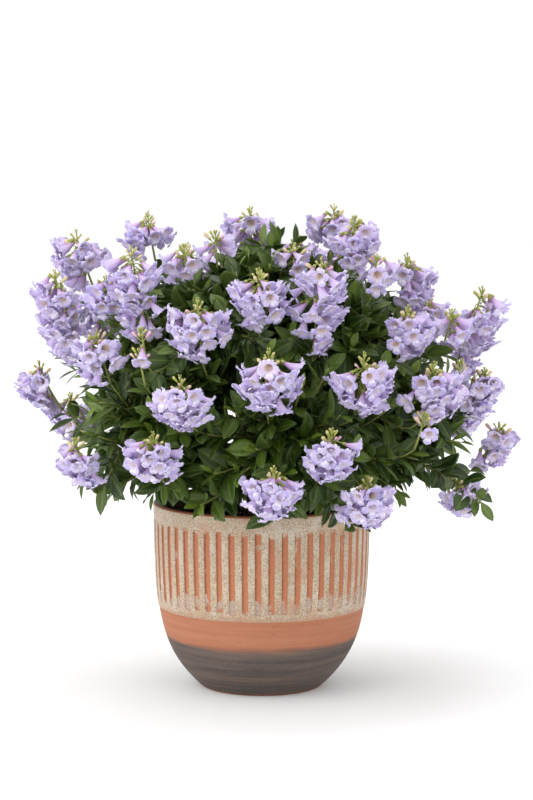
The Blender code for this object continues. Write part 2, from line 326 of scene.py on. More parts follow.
def tubePart(points, radii, sides=6, **numbers):
    # a tapered tube with closed ends along a line of points
    points = np.asarray(points, float)
    radii = np.asarray(radii, float)
    ahead = np.gradient(points, axis=0)
    ahead /= np.linalg.norm(ahead, axis=1, keepdims=True)
    side = np.cross(ahead[0], (0.31, 0.52, 0.79))
    side /= np.linalg.norm(side)
    rings = []
    turn = np.linspace(0, 2 * np.pi, sides, endpoint=False)
    for point, along, radius in zip(points, ahead, radii):
        side = side - along * (side @ along)
        side /= np.linalg.norm(side)
        up = np.cross(along, side)
        rings.append(point + radius * (np.cos(turn)[:, None] * side + np.sin(turn)[:, None] * up))
    tips = [np.tile(points[0], (sides, 1)), *rings, np.tile(points[-1], (sides, 1))]
    tips[0] = points[0] + (rings[0] - points[0]) * 0.02
    tips[-1] = points[-1] + (rings[-1] - points[-1]) * 0.02 + ahead[-1] * radii[-1] * 0.5
    verts = np.concatenate(tips)
    index = np.arange(len(verts)).reshape(-1, sides)
    index = wrapped(index)[:, ::-1]
    quads, corners = gridQuads(index)
    along = np.repeat(np.linspace(0, 1, len(tips)), sides)
    given = {}
    for k, v in numbers.items():
        given[k] = np.full(len(verts), v) if np.isscalar(v) else np.interp(along, *v)
    return newPart(verts, quads, corners, given)


def joined(parts):
    # parts as one, with every number that any of them has, and cells kept apart
    parts = [part for part in parts if len(part["verts"])]
    names = sorted({name for part in parts for name in part["numbers"]})
    verts, quads, corners, cells = [], [], [], []
    numbers = {name: [] for name in names}
    start = cell = 0
    for part in parts:
        count = len(part["verts"])
        verts.append(part["verts"])
        quads.append(part["quads"] + start)
        corners.append(part["corners"])
        cells.append(part["cells"] + cell)
        for name in names:
            numbers[name].append(part["numbers"].get(name, np.zeros(count)))
        start += count
        cell += part["cells"].max() + 1
    numbers = {k: np.concatenate(v) for k, v in numbers.items()}
    return newPart(*(np.concatenate(x) for x in (verts, quads, corners)), numbers, np.concatenate(cells))


def makePiece(name, part, material, atlas=True):
    # the part as an object that rides on the root body
    mesh = bpy.data.meshes.new(name)
    verts, quads = part["verts"], part["quads"]
    mesh.vertices.add(len(verts))
    mesh.vertices.foreach_set("co", verts.astype(np.float32).ravel())
    mesh.loops.add(quads.size)
    mesh.loops.foreach_set("vertex_index", quads.astype(np.int32).ravel())
    mesh.polygons.add(len(quads))
    mesh.polygons.foreach_set("loop_start", np.arange(0, quads.size, 4, dtype=np.int32))
    mesh.polygons.foreach_set("use_smooth", np.ones(len(quads), bool))
    if atlas:
        across = math.ceil(math.sqrt(part["cells"].max() + 1))
        cell = np.stack([part["cells"] % across, part["cells"] // across], 1)
        corners = (part["corners"] * 0.94 + 0.03 + cell[:, None]) / across
        layer = mesh.uv_layers.new(name="OFBake")
        layer.data.foreach_set("uv", corners.astype(np.float32).ravel())
    for label, values in part["numbers"].items():
        kept = mesh.attributes.new(label, "FLOAT", "POINT")
        kept.data.foreach_set("value", values.astype(np.float32))
    mesh.update(calc_edges=True)
    mesh.materials.append(material)
    piece = bpy.data.objects.new(name, mesh)
    bpy.context.scene.collection.objects.link(piece)
    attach(piece, "root")
    return piece


def unit(vectors):
    vectors = np.asarray(vectors, float)
    return vectors / np.maximum(np.linalg.norm(vectors, axis=-1, keepdims=True), 1e-12)


def standing(places, ahead, hint, sizes):
    # matrices that put a part's +Z along ahead and its -Y towards the hint
    z = unit(ahead)
    x = unit(np.cross(hint, z) * -1)
    y = np.cross(z, x)
    matrices = np.zeros((len(places), 4, 4))
    matrices[:, 3, 3] = 1
    for i, axis in enumerate((x, y, z)):
        matrices[:, :3, i] = axis * np.asarray(sizes)[:, None]
    matrices[:, :3, 3] = places
    return matrices


def curvePoints(start, first, second, end, count):
    t = np.linspace(0, 1, count)[:, None]
    return (
        (1 - t) ** 3 * start
        + 3 * (1 - t) ** 2 * t * first
        + 3 * (1 - t) * t**2 * second
        + t**3 * end
    )


def evenDirections(count):
    # directions spread evenly over a sphere
    i = np.arange(count) + 0.5
    z = 1 - 2 * i / count
    turn = math.pi * (3 - math.sqrt(5)) * i
    r = np.sqrt(1 - z * z)
    return np.stack([r * np.cos(turn), r * np.sin(turn), z], 1)


# Where the plant's masses are, from the frame


def massOf(name):
    # centre, long axis, radius and half length of a solid, from its volume and second moments
    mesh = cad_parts[name].data
    mesh.calc_loop_triangles()
    verts = np.array([v.co for v in mesh.vertices], float)
    tris = np.array([t.vertices for t in mesh.loop_triangles])
    a, b, c = (verts[tris[:, i]] for i in range(3))
    volume = np.einsum("ij,ij->i", a, np.cross(b, c)) / 6
    centre = ((a + b + c) / 4 * volume[:, None]).sum(0) / volume.sum()
    a, b, c = a - centre, b - centre, c - centre
    volume = np.einsum("ij,ij->i", a, np.cross(b, c)) / 6
    total = a + b + c
    spread = sum(np.einsum("i,ij,ik->jk", volume, p, p) for p in (a, b, c, total)) / 20
    values, vectors = np.linalg.eigh(spread / volume.sum())
    axis = vectors[:, 2] * np.sign(vectors[2, 2] or 1)
    half = math.sqrt(5 * values[2])
    radius = math.sqrt(5 * values[:2].mean())
    return {"centre": centre, "axis": axis, "radius": radius, "half": max(half - radius, 0)}


nodeNames = sorted(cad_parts)
trussNodes = [n for n in nodeNames if n.startswith("flower_truss")]
shootNodes = [n for n in nodeNames if n.startswith("leafy_shoot")]
stemNodes = [n for n in nodeNames if n.startswith("stem")]
trusses = [massOf(n) for n in trussNodes]
shoots = [massOf(n) for n in shootNodes]
crownLow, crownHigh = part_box("root_crown")
potLow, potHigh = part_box("pot")
soilLow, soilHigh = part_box("potting_soil")
crown = {"radius": 0.012, "neck": 0.0082, "neckSpread": 0.001, "rings": 26, "sides": 40, "rough": 0.10}
crownPlace = np.array([0, 0, crownHigh.z - crown["radius"]])


def nearestShoot(target):
    return int(np.argmin([np.linalg.norm(target - s["centre"]) - s["radius"] for s in shoots]))


for shoot in shoots:
    shoot["axis"] = unit(shoot["centre"] - crownPlace)
for truss in trusses:
    truss["home"] = nearestShoot(truss["centre"])
bushMiddle = np.array([0, 0, 0.215])
print("read", len(trusses), "trusses and", len(shoots), "shoots")


# The pot

pot = {
    "fluteCount": 52,
    "firstFlute": 0.75,
    "fluteTop": 0.1410,
    "fluteFoot": 0.0735,
    "fluteDepth": 0.0010,
    "fluteEnd": 0.0026,
    "glazeLine": 0.0676,
    "glazeThick": 0.0006,
    "charLine": 0.0440,
    "wall": 0.0055,
    "floor": 0.0090,
    "drain": 0.0070,
    "lip": 0.0022,
    "rimRadius": 0.09,
    "footRadius": 0.0505,
    "seed": 4,
    "swellLow": 4.5,
    "swellFade": 3.0,
}
acrossFlute = (-0.5, -0.31, -0.255, -0.20, -0.10, 0.0, 0.10, 0.20, 0.255, 0.31)


def potRadius(height):
    foot = pot["footRadius"] * potHigh.x / pot["rimRadius"]
    share = np.clip(height / potHigh.z, 0, 1)
    power = pot["swellLow"] - pot["swellFade"] * share * share
    return foot + (potHigh.x - foot) * (1 - (1 - share) ** power)


def potProfile():
    top = potHigh.z
    lip = pot["lip"]
    outer = []
    for t in np.linspace(90, 0, 6):
        angle = math.radians(t)
        outer.append((potHigh.x - lip + lip * math.cos(angle), top - lip + lip * math.sin(angle)))
    line = pot["glazeLine"]
    heights = np.concatenate([
        np.linspace(top - 2.2 * lip, 0.1425, 5),
        np.linspace(0.1417, 0.1370, 7),
        np.linspace(0.1350, 0.0800, 30),
        np.linspace(0.0780, line + 0.0022, 9),
        np.linspace(line + 0.0016, line - 0.0012, 9),
        np.linspace(line - 0.0022, 0.0035, 34),
        [0.0024, 0.0015, 0.0008, 0.0003],
    ])
    outer += [(potRadius(h), h) for h in heights]
    foot = potRadius(0)
    wall, floor, drain = pot["wall"], pot["floor"], pot["drain"]
    bottom = [(foot - 0.0008, 0.00005), (foot - 0.002, 0), (foot * 0.6, 0), (drain + 0.001, 0)]
    hole = [(drain, 0.0006), (drain, floor - 0.0006), (drain + 0.001, floor)]
    inFoot = potRadius(floor + wall) - 2.3 * wall
    inner = [(inFoot * 0.5, floor), (inFoot, floor)]
    inner += [(potRadius(h) - wall, h) for h in np.linspace(floor + wall, top - 2.4 * lip, 14)]
    inside = potHigh.x - wall
    inner += [(inside + 0.0004, top - 0.0024), (inside + 0.0012, top - 0.0006)]
    inner += [(inside + 0.0024, top - 0.00005)]
    return np.array(outer + bottom + hole + inner)


def eased(value, low, high):
    t = np.clip((value - low) / (high - low), 0, 1)
    return t * t * (3 - 2 * t)


def potPart():
    rng = np.random.default_rng(pot["seed"])
    profile = potProfile()
    count = pot["fluteCount"]
    phase = np.tile(acrossFlute, count)
    number = np.repeat(np.arange(count), len(acrossFlute))
    turn = (number + pot["firstFlute"] + phase) / count * 2 * math.pi
    radius = np.repeat(profile[:, :1], len(turn), 1)
    height = np.repeat(profile[:, 1:], len(turn), 1)
    outerRows = np.arange(len(profile)) < np.argmin(np.abs(profile[:, 1]))
    topEnd = pot["fluteTop"] + rng.uniform(-0.0007, 0.0007, count)[number]
    lowEnd = pot["fluteFoot"] + rng.uniform(-0.0012, 0.0012, count)[number]
    wide = rng.uniform(0.93, 1.07, count)[number]
    across = 1 - eased(np.abs(phase) * wide, 0.185, 0.265)
    ends = eased(height, lowEnd, lowEnd + pot["fluteEnd"])
    ends = ends * (1 - eased(height, topEnd - pot["fluteEnd"], topEnd))
    groove = across * ends * outerRows[:, None]
    wave = [noise.noise(Vector((math.cos(t) * 3, math.sin(t) * 3, 2.1))) for t in turn]
    line = pot["glazeLine"] + np.array(wave) * 0.0009
    glazed = eased(height, line - 0.0004, line + 0.0006) * outerRows[:, None]
    hand = []  # the slight unevenness that a hand leaves
    for h in profile[:, 1]:
        spots = [(math.cos(t) * 1.2, math.sin(t) * 1.2, h * 30) for t in turn[:: len(acrossFlute)]]
        hand.append([noise.noise(Vector(spot)) for spot in spots])
    hand = np.repeat(np.array(hand), len(acrossFlute), 1) * 0.00025
    bare = (1 - glazed) * pot["glazeThick"]
    radius = radius - (bare + groove * pot["fluteDepth"] - hand) * outerRows[:, None]
    verts = np.stack([radius * np.cos(turn), radius * np.sin(turn), height], -1).reshape(-1, 3)
    index = np.arange(len(verts)).reshape(radius.shape)
    index = wrapped(index)
    index = np.concatenate([index, index[:1]], 0)[::-1]
    quads, corners = gridQuads(index)
    insideRows = (np.arange(len(profile)) > len(profile) - 20) & (profile[:, 1] > pot["floor"] * 0.9)
    inside = np.repeat(insideRows.astype(float), len(turn))
    spin = np.tile(rng.uniform(0, 1, count)[number], len(profile))
    across = np.tile(phase, len(profile))
    numbers = {"groove": groove.ravel(), "inside": inside, "flute": spin, "across": across}
    return newPart(verts, quads, corners, numbers)


def potFinish():
    f = Finish("glazed_pot_stoneware", roughness=0.5)
    x, y, z = f.axes()
    groove = f.attribute("groove")
    inside = f.attribute("inside")
    flute = f.attribute("flute")
    across = f.attribute("across")
    broad = f.cloud(22, 4, 0.6)
    fine = f.cloud(160, 4, 0.65)
    grain = f.cloud(900, 2, 0.6)
    streak = f.cloud(9, 4, 0.6, stretch=(1, 1, 14))
    rings = f.cloud(30, 3, 0.55, stretch=(0.25, 0.25, 10))
    specksDark = f.specks(620, 0.30) * fine.between(0.40, 0.56)
    specksRust = f.specks(330, 0.26) * broad.between(0.35, 0.65)
    # cream glaze, thick with specks
    cream = f.mix(broad.between(0.3, 0.7), srgb(194, 175, 148), srgb(177, 153, 126))
    cream = f.mix(fine.between(0.35, 0.75) * 0.5, cream, srgb(205, 191, 172))
    cream = f.mix(grain.between(0.50, 0.60) * 0.6, cream, srgb(135, 104, 81))
    cream = f.mix((1 - grain.between(0.34, 0.44)) * 0.6, cream, srgb(210, 198, 181))
    mottle = f.cloud(52, 4, 0.65)
    cream = f.mix(mottle.between(0.50, 0.66) * 0.55, cream, srgb(186, 140, 108))
    cream = f.mix((1 - mottle.between(0.34, 0.48)) * 0.5, cream, srgb(206, 196, 180))
    cream = f.mix(specksRust * 0.7, cream, srgb(160, 100, 66))
    cream = f.mix(specksDark * 0.85, cream, srgb(83, 66, 57))
    cream = f.mix(f.specks(400, 0.17) * 0.75, cream, srgb(92, 78, 74))
    # bare clay
    clay = f.mix(broad, srgb(178, 115, 84), srgb(164, 100, 71))
    clay = f.mix(rings.between(0.35, 0.7) * 0.5, clay, srgb(185, 129, 97))
    clay = f.mix(grain.between(0.55, 0.7) * 0.3, clay, srgb(139, 81, 56))
    dots = f.specks(190, 0.10)
    clay = f.mix(dots * 0.7, clay, srgb(83, 51, 37))
    # smoked foot
    smoke = f.mix(streak.between(0.32, 0.68), srgb(68, 62, 61), srgb(101, 88, 81))
    smoke = f.mix(rings.between(0.5, 0.75) * 0.6, smoke, srgb(123, 97, 79))
    smoke = f.mix((1 - rings.between(0.30, 0.45)) * 0.5, smoke, srgb(59, 55, 55))
    smoke = f.mix(grain.between(0.5, 0.65) * 0.35, smoke, srgb(126, 102, 84))
    # flutes: bare in the middle, glazed over in patches near their feet, darker at one edge as painted shade
    patch = f.cloud(120, 3, 0.6, stretch=(1, 1, 0.5))
    footPart = 1 - z.between(pot["fluteFoot"] + 0.006, pot["fluteFoot"] + 0.018)
    headPart = z.between(pot["fluteTop"] - 0.008, pot["fluteTop"] - 0.001)
    covered = patch + flute * 0.06 + footPart * 0.22 + headPart * 0.20
    bare = groove.between(0.35, 0.75) * (1 - covered.between(0.66, 0.74) * 0.85)
    # painted shade: the clay is darker towards one wall of each groove, as if that wall were turned from the
    # light
    fluteClayWithPaintedShade = f.mix(across.between(-0.22, 0.0), srgb(132, 75, 50), srgb(186, 115, 79))
    fluteClayWithPaintedShade = f.mix(fine.between(0.4, 0.7) * 0.35, fluteClayWithPaintedShade, srgb(194, 131, 97))
    fluteClayWithPaintedShade = f.mix(grain.between(0.52, 0.62) * 0.35, fluteClayWithPaintedShade, srgb(135, 80, 55))
    upper = f.mix(bare, cream, fluteClayWithPaintedShade)
    edge = (groove.between(0.02, 0.4) * (1 - groove.between(0.4, 0.85))) * 0.6
    upper = f.mix(edge, upper, srgb(150, 94, 64))
    ashen = footPart * groove.between(0.3, 0.7) * (1 - bare) * patch.between(0.42, 0.58)
    upper = f.mix(ashen * 0.6, upper, srgb(166, 150, 148))
    wobble = (broad - 0.5) * 0.003
    # thin glaze breaks to orange at its lower edge
    low = 1 - (z + wobble).between(pot["glazeLine"] + 0.0005, pot["glazeLine"] + 0.006)
    upper = f.mix(low * 0.45, upper, srgb(165, 117, 88))
    line = (z + wobble * 0.3).between(pot["glazeLine"] - 0.0003, pot["glazeLine"] + 0.0003)
    burnt = (z + (streak - 0.5) * 0.011).between(pot["charLine"] - 0.0035, pot["charLine"] + 0.0035)
    lower = f.mix(burnt, smoke, clay)
    colour = f.mix(line, lower, upper)
    out = (x * x + y * y) ** 0.5
    rimWave = (fine - 0.5) * 0.0008
    lip = (z + rimWave).between(potHigh.z - 0.0020, potHigh.z - 0.0014)
    colour = f.mix(lip, colour, srgb(160, 92, 62))
    rimTop = lip * (1 - (out + rimWave).between(potHigh.x - 0.0019, potHigh.x - 0.0013))
    colour = f.mix(rimTop, colour, f.mix(fine, srgb(96, 84, 76), srgb(132, 116, 104)))
    footLine = 1 - z.between(0.0012, 0.0026)
    colour = f.mix(footLine * 0.8, colour, srgb(135, 82, 57))
    colour = f.mix(inside, colour, f.mix(fine, srgb(108, 93, 83), srgb(79, 68, 61)))
    glazedHere = line * (1 - bare)
    roughness = 0.78 - glazedHere * 0.36 + (fine - 0.5) * 0.12
    height = fine * 0.4 * line + rings * 0.6 * (1 - line) + grain * 0.25
    return f.wear(Base_Color=colour, Roughness=roughness, Normal=f.bump(height, 0.45, 0.0006))


def makePot():
    piece = makePiece("stoneware_pot", potPart(), potFinish(), atlas=False)
    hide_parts("pot")


makePot()
print("pot made")


# Soil, with a crumbly top

soil = {"rings": 34, "spokes": 128, "lumps": 0.0016, "crumbs": 900, "seed": 11}


def soilPart():
    top, low = soilHigh.z, soilLow.z + 0.0004
    edge = potRadius(top) - pot["wall"] - 0.0006
    radii = np.concatenate([[0.0004], np.linspace(0.004, edge, soil["rings"])])
    turn = np.linspace(0, 2 * math.pi, soil["spokes"], endpoint=False)
    rows = []
    for r in radii:
        row = []
        for t in turn:
            place = Vector((r * math.cos(t), r * math.sin(t), 0))
            rough = noise.fractal(place * 90, 0.9, 2.1, 4) + 0.6 * noise.noise(place * 420)
            row.append((place.x, place.y, top - 0.0012 + soil["lumps"] * rough * 0.6))
        rows.append(row)
    for h in np.linspace(top - 0.004, low + 0.006, 8):
        r = potRadius(h) - pot["wall"] - 0.0006
        rows.append([(r * math.cos(t), r * math.sin(t), h) for t in turn])
    under = potRadius(0.0145) - 2.7 * pot["wall"]
    for r in (under, under * 0.5, 0.0004):
        rows.append([(r * math.cos(t), r * math.sin(t), low) for t in turn])
    verts = np.array(rows).reshape(-1, 3)
    index = np.arange(len(verts)).reshape(len(rows), -1)
    index = wrapped(index)
    quads, corners = gridQuads(index)
    return newPart(verts, quads, corners)


def pebblePart(seed):
    # a rounded cube pushed about by noise
    n = 3
    faces = []
    for axis in range(3):
        for side in (-1, 1):
            u, v = np.meshgrid(np.linspace(-1, 1, n), np.linspace(-1, 1, n))
            cube = np.zeros((n, n, 3))
            cube[..., axis] = side
            cube[..., (axis + 1) % 3] = u * side
            cube[..., (axis + 2) % 3] = v
            faces.append(cube.reshape(-1, 3))
    verts = np.round(np.concatenate(faces), 6)
    index = np.arange(len(verts)).reshape(6, n, n)
    kept, back = np.unique(verts, axis=0, return_inverse=True)
    back = back.ravel()
    quads, corners = zip(*(gridQuads(back[index[i]]) for i in range(6)))
    ball = unit(kept)
    push = np.array([1 + 0.35 * noise.noise(Vector(v) * 1.3 + Vector((seed, 0, 0))) for v in ball])
    return newPart(ball * push[:, None], np.concatenate(quads), np.concatenate(corners))


def makeSoil():
    f = Finish("soil_mix", roughness=0.95, Specular_IOR_Level=0.25)
    fine = f.cloud(420, 4, 0.7)
    broad = f.cloud(60, 3, 0.6)
    colour = f.mix(fine.between(0.3, 0.7), srgb(38, 27, 20), srgb(74, 54, 39))
    colour = f.mix(broad.between(0.5, 0.8) * 0.5, colour, srgb(52, 40, 32))
    ground = f.wear(Base_Color=colour, Normal=f.bump(fine, 0.6, 0.001))
    bed = makePiece("soil_bed", soilPart(), ground, atlas=False)
    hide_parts("potting_soil")
    rng = np.random.default_rng(soil["seed"])
    f = Finish("soil_crumb", roughness=0.9, Specular_IOR_Level=0.25)
    tone = f.attribute("tone")
    grain = f.cloud(900, 2, 0.6)
    colour = f.mix(tone.between(0.1, 0.8), srgb(40, 28, 20), srgb(96, 70, 48))
    colour = f.mix(tone.between(0.93, 0.95), colour, srgb(190, 180, 162))
    colour = f.mix(grain.between(0.4, 0.7) * 0.5, colour, srgb(30, 22, 16))
    crumbStuff = f.wear(Base_Color=colour)
    edge = potRadius(soilHigh.z) - pot["wall"] - 0.004
    parts = []
    for kind in range(3):
        count = soil["crumbs"] // 3
        r = edge * np.sqrt(rng.uniform(0.02, 1, count))
        t = rng.uniform(0, 2 * math.pi, count)
        sizes = rng.uniform(0.0006, 0.0021, count)
        height = soilHigh.z - 0.0009 + sizes * 0.2
        places = np.stack([r * np.cos(t), r * np.sin(t), height], 1)
        spun = standing(places, rng.normal(size=(count, 3)), rng.normal(size=(count, 3)), sizes)
        parts.append(copies(pebblePart(kind * 7.3), spun, tone=rng.uniform(0, 1, count)))
    makePiece("soil_crumbs", joined(parts), crumbStuff)


makeSoil()
print("soil made")


# Flowers: a tube that widens to a mouth with five lobes, the lower one longer

flower = {
    "tubeLength": 0.0135,
    "tubeHeights": (0.0, 0.28, 0.64, 1.0),
    "tubeRadii": (0.0009, 0.0014, 0.0028, 0.0041),
    "lobeLength": 0.0070,
    "lobeHalf": (0.0025, 0.0031, 0.0037, 0.0035, 0.0021),
    "cells": 4,
    "skin": 0.00022,
    "kinds": 6,
    "spacing": 0.0138,
    "squash": 0.78,
    "upright": 0.75,
    "layers": (1, 0.74),
    "seed": 21,
    "budKinds": 3,
    "budSeed": 60,
}


def flowerPart(seed):
    rng = np.random.default_rng(seed)
    cells = flower["cells"]
    ring = 5 * cells
    turn = np.radians(270) + (np.arange(ring) - cells / 2) * 2 * math.pi / ring
    bend = rng.uniform(0.0006, 0.0018)
    flare = rng.uniform(0.75, 1.15)
    tall = np.array(flower["tubeHeights"])
    verts, along, across = [], [], []
    for h, r in zip(tall, flower["tubeRadii"]):
        oval = 1 + 0.08 * np.cos(2 * turn) * h
        verts.append(np.stack([
            r * oval * np.cos(turn),
            r * oval * np.sin(turn) - bend * h * (1 - h) * 2.4,
            np.full(ring, h * flower["tubeLength"]),
        ], 1))
        along.append(np.full(ring, h * 0.5))
        across.append(np.zeros(ring))
    index = np.arange(len(tall) * ring).reshape(len(tall), ring)
    index = wrapped(index)
    quads, corners = gridQuads(index, (0, 0, 1, 0.34))
    start = (len(tall) - 1) * ring
    total = len(tall) * ring
    mouth = flower["tubeRadii"][-1]
    w = np.linspace(-1, 1, cells + 1)
    for lobe in range(5):
        middle = np.radians(270) + lobe * 2 * math.pi / 5
        out = np.array([math.cos(middle), math.sin(middle)])
        side = np.array([-out[1], out[0]])
        longer = (1.28 if lobe == 0 else 0.96) * rng.uniform(0.93, 1.07)
        ruffle = rng.uniform(-0.0005, 0.0005, 3)
        droop = rng.uniform(0.3, 1.2)
        spread = rng.uniform(0.68, 0.92)
        rows = len(flower["lobeHalf"])
        table = np.zeros((rows, cells + 1), int)
        table[0] = start + (lobe * cells + np.arange(cells + 1)) % ring
        for j in range(1, rows):
            s = j / (rows - 1)
            reach = mouth * math.cos(math.pi / 5 * 0.9) + flower["lobeLength"] * longer * flare * spread * s
            reach = reach - 0.0013 * s**2 * w**2 + 0.0005 * s**3 * np.cos(w * math.pi * 2)
            wide = flower["lobeHalf"][j] * w
            flat = out * reach[:, None] + side * wide[:, None]
            lift = 0.0040 * s - 0.0034 * droop * s * s
            lift = lift + ruffle[0] * s * np.sin(w * 3 + seed) + ruffle[1] * s * w
            turned = 1 if lobe % 2 else -1
            lift = lift + 0.0005 * s * np.cos(w * math.pi * 2) * turned - 0.0006 * w**2 * s
            verts.append(np.concatenate([flat, (flower["tubeLength"] + lift)[:, None]], 1))
            along.append(np.full(cells + 1, 0.5 + 0.5 * s))
            across.append(w.copy())
            table[j] = total + np.arange(cells + 1)
            total += cells + 1
        q, c = gridQuads(table, (0.2 * lobe + 0.01, 0.38, 0.2 * lobe + 0.19, 1))
        quads = np.concatenate([quads, q])
        corners = np.concatenate([corners, c])
    numbers = {"along": np.concatenate(along), "across": np.concatenate(across)}
    sheet = newPart(np.concatenate(verts), quads, corners, numbers)
    lobeCount = (len(flower["lobeHalf"]) - 1) * (cells + 1)
    lower = np.zeros(len(tall) * ring + 5 * lobeCount)  # 1 on the lower lip
    lower[len(tall) * ring : len(tall) * ring + lobeCount] = 1
    sheet["numbers"]["lower"] = lower
    return thicken(sheet, flower["skin"])


def petalFinish():
    f = Finish(
        "petal_lilac",
        roughness=0.58,
        Specular_IOR_Level=0.3,
        Subsurface_Weight=0.25,
        Subsurface_Scale=0.003,
        Subsurface_Radius=(0.6, 0.45, 0.8),
        Sheen_Weight=0.12,
    )
    along = f.attribute("along")
    across = f.attribute("across")
    inside = f.attribute("inside")
    tone = f.attribute("tone")
    lower = f.attribute("lower")
    fine = f.cloud(700, 2, 0.5)
    blotch = f.cloud(230, 3, 0.6)
    rim = along.between(0.78, 1.0)
    sideRim = (across * across).between(0.5, 1.0) * along.between(0.5, 0.6)
    lilac = f.mix(tone, srgb(172, 160, 228), srgb(204, 186, 236))
    pale = f.mix(tone, srgb(218, 214, 244), srgb(232, 226, 246))
    face = f.mix(rim.math("MAXIMUM", sideRim) * 0.7, lilac, pale)
    face = f.mix(blotch.between(0.4, 0.7) * 0.45, face, srgb(228, 222, 246))
    white = lower * (1 - along.between(0.55, 0.85))
    face = f.mix(white * 0.85, face, srgb(246, 240, 246))
    vein = (across * 9 + fine * 2).math("SINE").between(0.5, 1.0) * (1 - along.between(0.6, 0.95))
    face = f.mix(vein * along.between(0.48, 0.55) * 0.35, face, srgb(150, 126, 200))
    throat = 1 - along.between(0.40, 0.70)
    face = f.mix(throat * 0.6, face, srgb(240, 232, 238))
    gold = (1 - along.between(0.34, 0.54)) * (fine + blotch).between(0.80, 1.25)
    face = f.mix(gold * 0.8, face, srgb(244, 208, 140))
    face = f.mix(1 - along.between(0.10, 0.40), face, srgb(252, 232, 206))
    tube = f.mix(along.between(0.02, 0.30), srgb(184, 122, 178), srgb(202, 176, 224))
    tube = f.mix(along.between(0.25, 0.55), tube, srgb(198, 184, 230))
    tube = f.mix(1 - along.between(0.0, 0.08), tube, srgb(170, 150, 110))
    tube = f.mix(along.between(0.75, 1.0) * 0.55, tube, srgb(220, 212, 240))
    streaks = (across * 7 + blotch * 6).math("SINE").between(0.2, 1.0)
    tube = f.mix(streaks * 0.2, tube, srgb(214, 196, 232))
    colour = f.mix(inside, tube, face)
    colour = f.mix(fine.between(0.4, 0.8) * 0.12, colour, srgb(236, 230, 244))
    return f.wear(Base_Color=colour)


def budPart(seed):
    # a club-shaped bud along +Z, one unit long
    rng = np.random.default_rng(seed)
    sides = 7
    heights = np.array([0.0, 0.04, 0.22, 0.45, 0.68, 0.86, 0.96, 1.0])
    radii = np.array([0.01, 0.10, 0.12, 0.14, 0.19, 0.17, 0.09, 0.005])
    turn = np.linspace(0, 2 * math.pi, sides, endpoint=False)
    bend = rng.uniform(-0.12, 0.12)
    rings = []
    for h, r in zip(heights, radii):
        rings.append(np.stack([r * np.cos(turn) + bend * h * h, r * np.sin(turn), np.full(sides, h)], 1))
    verts = np.concatenate(rings)
    index = np.arange(len(verts)).reshape(-1, sides)
    index = wrapped(index)
    quads, corners = gridQuads(index)
    return newPart(verts, quads, corners, {"along": np.repeat(heights, sides)})


def calyxPart():
    # a small cup with five points, about the foot of the tube
    ring = 10
    turn = np.linspace(0, 2 * math.pi, ring, endpoint=False)
    points = np.where(np.arange(ring) % 2 == 0, 1.0, 0.62)
    rows = [(0.0, 0.25), (0.12, 0.75), (0.45, 1.0), (1.0, 1.12)]
    verts = []
    for i, (h, r) in enumerate(rows):
        tall = h * (points if i == len(rows) - 1 else 1)
        up = tall * 0.0034 * np.ones(ring) - 0.0006
        verts.append(np.stack([r * np.cos(turn) * 0.0014, r * np.sin(turn) * 0.0014, up], 1))
    index = np.arange(len(rows) * ring).reshape(len(rows), ring)
    index = wrapped(index)
    quads, corners = gridQuads(index)
    numbers = {"along": np.repeat([r[0] for r in rows], ring)}
    return thicken(newPart(np.concatenate(verts), quads, corners, numbers), 0.0002)


flowerKinds = [flowerPart(flower["seed"] + i) for i in range(flower["kinds"])]
budKinds = [budPart(flower["budSeed"] + i) for i in range(flower["budKinds"])]
calyx = calyxPart()
print("flower parts made,", len(flowerKinds[0]["quads"]), "quads each")


def uprightOf(mass):
    # the way that a truss's buds point
    return unit(mass["axis"] * (1 - flower["upright"]) + np.array([0, 0, flower["upright"]]))


def trussFlowers(mass, rng, layer):
    # mouths about the truss's sides and foot, the directions that they face, and where their stalks start
    centre, axis, half = (mass[k] for k in ("centre", "axis", "half"))
    radius = mass["radius"] * layer
    area = 4 * math.pi * radius * (radius * 0.9 + half)
    ways = evenDirections(max(int(area / (flower["spacing"] ** 2 * 0.866)), 6))
    upright = uprightOf(mass)
    helper = unit(np.cross(upright, (0.3, 0.9, 0.2)))
    other = np.cross(upright, helper)
    spin = rng.uniform(0, 2 * math.pi)
    turned = ways[:, 0] * math.cos(spin) - ways[:, 1] * math.sin(spin)
    ways[:, 1] = ways[:, 0] * math.sin(spin) + ways[:, 1] * math.cos(spin)
    ways[:, 0] = turned
    ways = unit(ways + rng.normal(0, 0.12, ways.shape))
    level = ways[:, 2]
    out = ways[:, :1] * helper + ways[:, 1:2] * other + ways[:, 2:] * upright
    outwards = unit(centre - bushMiddle)
    seen = (level < 0.48) & (out @ outwards > (-0.42 if layer == 1 else -0.1))
    seen &= rng.uniform(0, 1, len(level)) < mass.get("share", 0.94)
    out, level = out[seen], level[seen]
    out = out - upright * ((out @ upright) * (1 - flower["squash"]))[:, None]
    reach = radius * rng.uniform(0.84, 1.12, len(out))
    along = np.clip((out @ axis) * 2.2, -1, 1)
    mouths = centre + axis * (along * half)[:, None] + out * reach[:, None]
    hubs = centre + axis * (np.clip(along + 0.25, -1, 1) * half)[:, None]
    hubs = hubs + upright * (mass["radius"] * (0.36 + 0.26 * level))[:, None]
    facing = unit(unit(mouths - hubs) + rng.normal(0, 0.15, out.shape) + np.array([0, 0, -0.16]))
    return mouths, facing, hubs, level


def scatterKinds(kinds, matrices, rng, into, **perCopy):
    # a mixture of kinds of one thing, one copy at each matrix
    kind = rng.integers(0, len(kinds), len(matrices))
    for k, part in enumerate(kinds):
        chosen = kind == k
        if chosen.any():
            into.append(copies(part, matrices[chosen], **{n: v[chosen] for n, v in perCopy.items()}))


